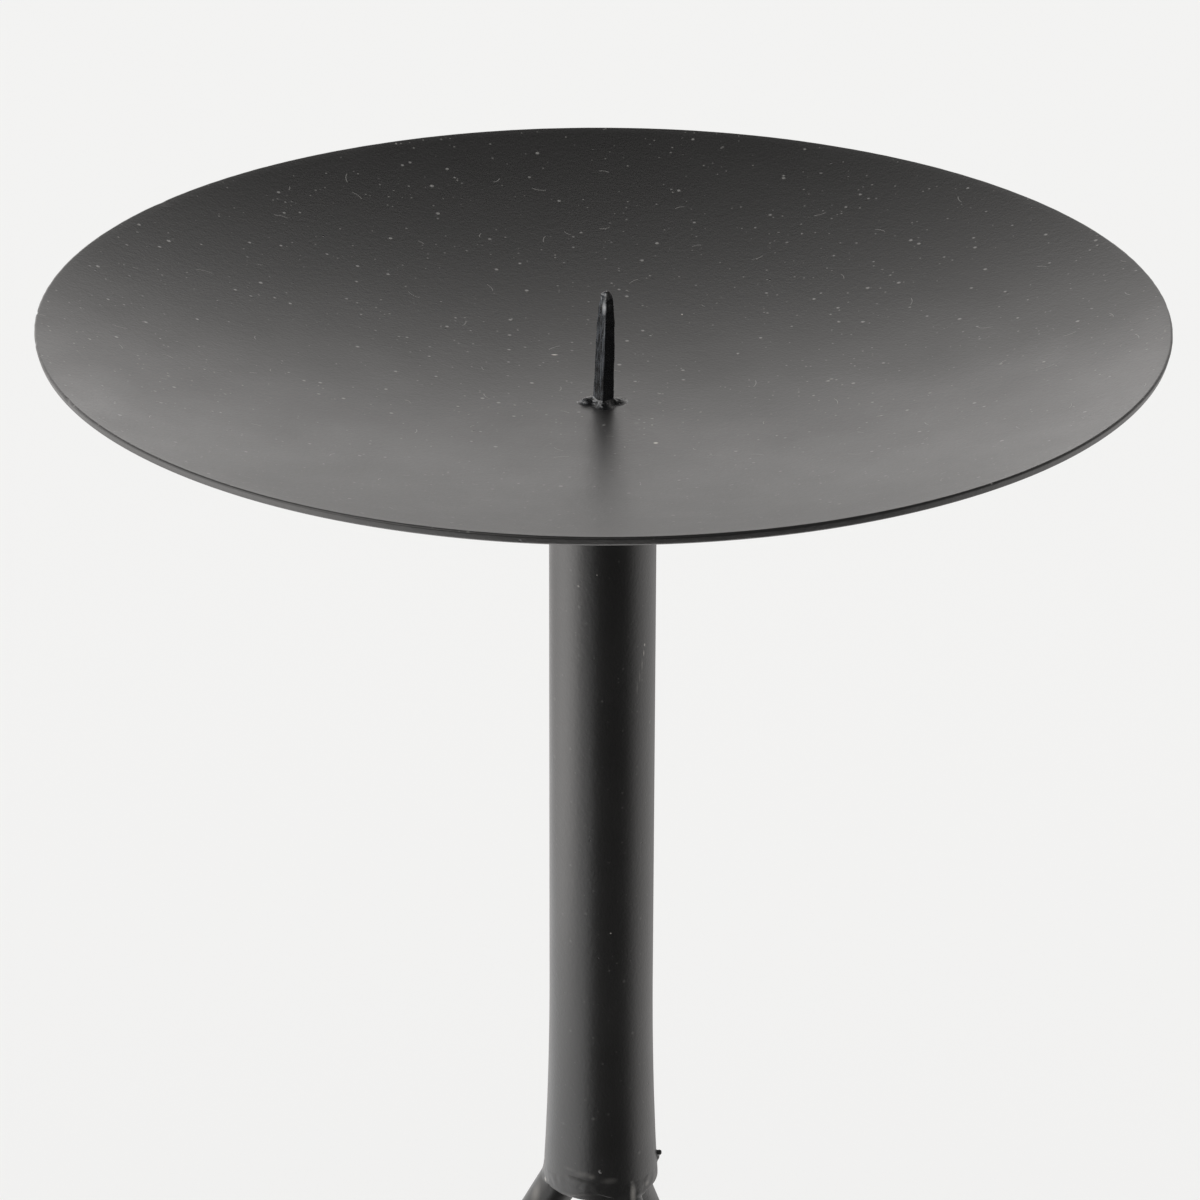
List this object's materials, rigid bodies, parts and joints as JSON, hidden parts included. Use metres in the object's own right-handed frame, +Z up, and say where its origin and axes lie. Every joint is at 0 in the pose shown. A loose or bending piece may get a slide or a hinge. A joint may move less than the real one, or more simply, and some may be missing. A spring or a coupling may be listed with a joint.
{
  "type": "pricket candle stand",
  "caption": "Slim black steel pricket candle stand: shallow round drip pan with a short spike, on a tube stem over splayed rod legs with small round feet.",
  "frame": {"origin": "on the floor under the axis of the stem and the drip pan", "axes": "+Z up along the stem, -Y the front seen in the picture, +X to the viewer's right"},
  "size_m": [0.1398, 0.1398, 0.2353],
  "materials": {
    "powder_coat": "satin black powder coat",
    "pricket_paint": "glossier black coat over forged steel",
    "felt": "black felt"
  },
  "bodies": {
    "root": {"drip_pan": "powder_coat", "pricket": "pricket_paint", "pricket_weld": "pricket_paint", "stem": "powder_coat", "stem_weld": "powder_coat", "leg_weld": "powder_coat", "leg_left": "powder_coat", "foot_left": "powder_coat", "foot_weld_left": "powder_coat", "felt_pad_left": "felt", "leg_front": "powder_coat", "foot_front": "powder_coat", "foot_weld_front": "powder_coat", "felt_pad_front": "felt", "leg_back": "powder_coat", "foot_back": "powder_coat", "foot_weld_back": "powder_coat", "felt_pad_back": "felt"}
  },
  "joints": []
}
